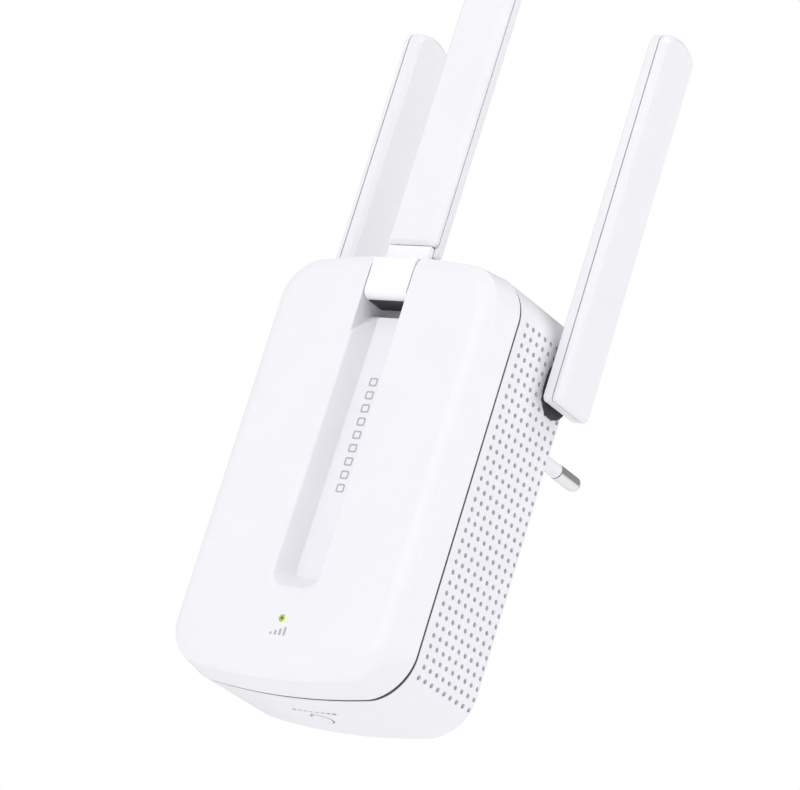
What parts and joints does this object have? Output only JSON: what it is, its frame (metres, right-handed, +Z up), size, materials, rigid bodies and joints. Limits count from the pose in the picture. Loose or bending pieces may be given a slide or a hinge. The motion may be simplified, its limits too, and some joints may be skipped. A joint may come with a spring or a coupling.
{
  "type": "wifi range extender",
  "caption": "Plug-in wifi range extender: rounded white case with a grooved front, folding antennas on top and sides, and a round-pin mains plug at the back.",
  "frame": {"origin": "centre of the plug face, midway between the two pins, where the face meets the wall socket", "axes": "+Y into the wall socket along the pins, +Z up, +X to the right as seen from the front"},
  "size_m": [0.08, 0.0829, 0.2117],
  "materials": {
    "case_white": "satin-gloss white ABS",
    "gloss_white": "mirror-gloss white plastic",
    "antenna_white": "satin white plastic",
    "button_white": "satin white plastic",
    "sleeve_white": "white insulating sleeve",
    "plug_chrome": "bright nickel plating",
    "screw_steel": "zinc-plated steel",
    "contact_brass": "sprung brass strip",
    "board_green": "glass-fibre board with green solder resist",
    "chip_black": "moulded black epoxy",
    "shield_tin": "tinned steel",
    "ferrite": "dull grey ferrite",
    "winding_tape": "yellow insulating tape",
    "capacitor_sleeve": "dark shrink sleeve",
    "copper": "bare copper strip",
    "lead_grey": "flexible grey jacket",
    "light_green": "clear green plastic",
    "fuse_brown": "brown ceramic body"
  },
  "bodies": {
    "housing": {"front_cover": "case_white", "rear_housing": "case_white", "plug_boss": "case_white", "pin_sleeve_left": "sleeve_white", "pin_sleeve_right": "sleeve_white", "plug_pin_left": "plug_chrome", "plug_pin_right": "plug_chrome", "case_screw_1": "screw_steel", "case_screw_2": "screw_steel", "case_screw_3": "screw_steel", "case_screw_4": "screw_steel", "middle_hinge_pin": "screw_steel", "contact_spring_left": "contact_brass", "contact_spring_right": "contact_brass", "main_board": "board_green", "power_board": "board_green", "radio_chip": "chip_black", "memory_chip": "chip_black", "switch_body": "chip_black", "bridge_rectifier": "chip_black", "optocoupler": "chip_black", "board_header": "chip_black", "rf_shield": "shield_tin", "crystal": "shield_tin", "transformer_core": "ferrite", "filter_choke": "ferrite", "transformer_winding": "winding_tape", "bulk_capacitor_1": "capacitor_sleeve", "bulk_capacitor_2": "capacitor_sleeve", "output_capacitor": "capacitor_sleeve", "middle_board_lead": "lead_grey", "left_board_lead": "lead_grey", "right_board_lead": "lead_grey", "status_led": "light_green", "light_pipe": "light_green", "fuse": "fuse_brown"},
    "middle_antenna": {"middle_front_shell": "antenna_white", "middle_rear_shell": "antenna_white", "middle_hinge_block": "gloss_white", "middle_radiator": "copper", "middle_antenna_lead": "lead_grey"},
    "left_antenna": {"left_outer_shell": "antenna_white", "left_inner_shell": "antenna_white", "left_hub": "case_white", "left_retaining_ring": "screw_steel", "left_radiator": "copper", "left_antenna_lead": "lead_grey"},
    "right_antenna": {"right_outer_shell": "antenna_white", "right_inner_shell": "antenna_white", "right_hub": "case_white", "right_retaining_ring": "screw_steel", "right_radiator": "copper", "right_antenna_lead": "lead_grey"},
    "button": {"pair_button": "button_white"},
    "plunger": {"switch_plunger": "button_white"}
  },
  "joints": [
    {"name": "middle_antenna_fold", "type": "hinge", "parent": "housing", "child": "middle_antenna", "pos_m": [0, -0.0583, 0.0185], "axis": [1, 0, 0], "range_deg": [0, 90]},
    {"name": "left_antenna_turn", "type": "hinge", "parent": "housing", "child": "left_antenna", "pos_m": [-0.0379, -0.0319, 0.007], "axis": [1, 0, 0], "range_deg": [0, 180]},
    {"name": "right_antenna_turn", "type": "hinge", "parent": "housing", "child": "right_antenna", "pos_m": [0.0379, -0.0319, 0.007], "axis": [1, 0, 0], "range_deg": [0, 180]},
    {"name": "pair_button_press", "type": "slide", "parent": "housing", "child": "button", "axis": [0, 0, 1], "range_m": [0, 0.0006], "stiffness_N_per_m": 2000, "springref_m": -0.0003},
    {"name": "switch_plunger_press", "type": "slide", "parent": "housing", "child": "plunger", "axis": [0, 0, 1], "range_m": [0, 0.0003]}
  ],
  "couplings": [
    {"joint": "switch_plunger_press", "follows": "pair_button_press", "ratio": 0.5}
  ]
}
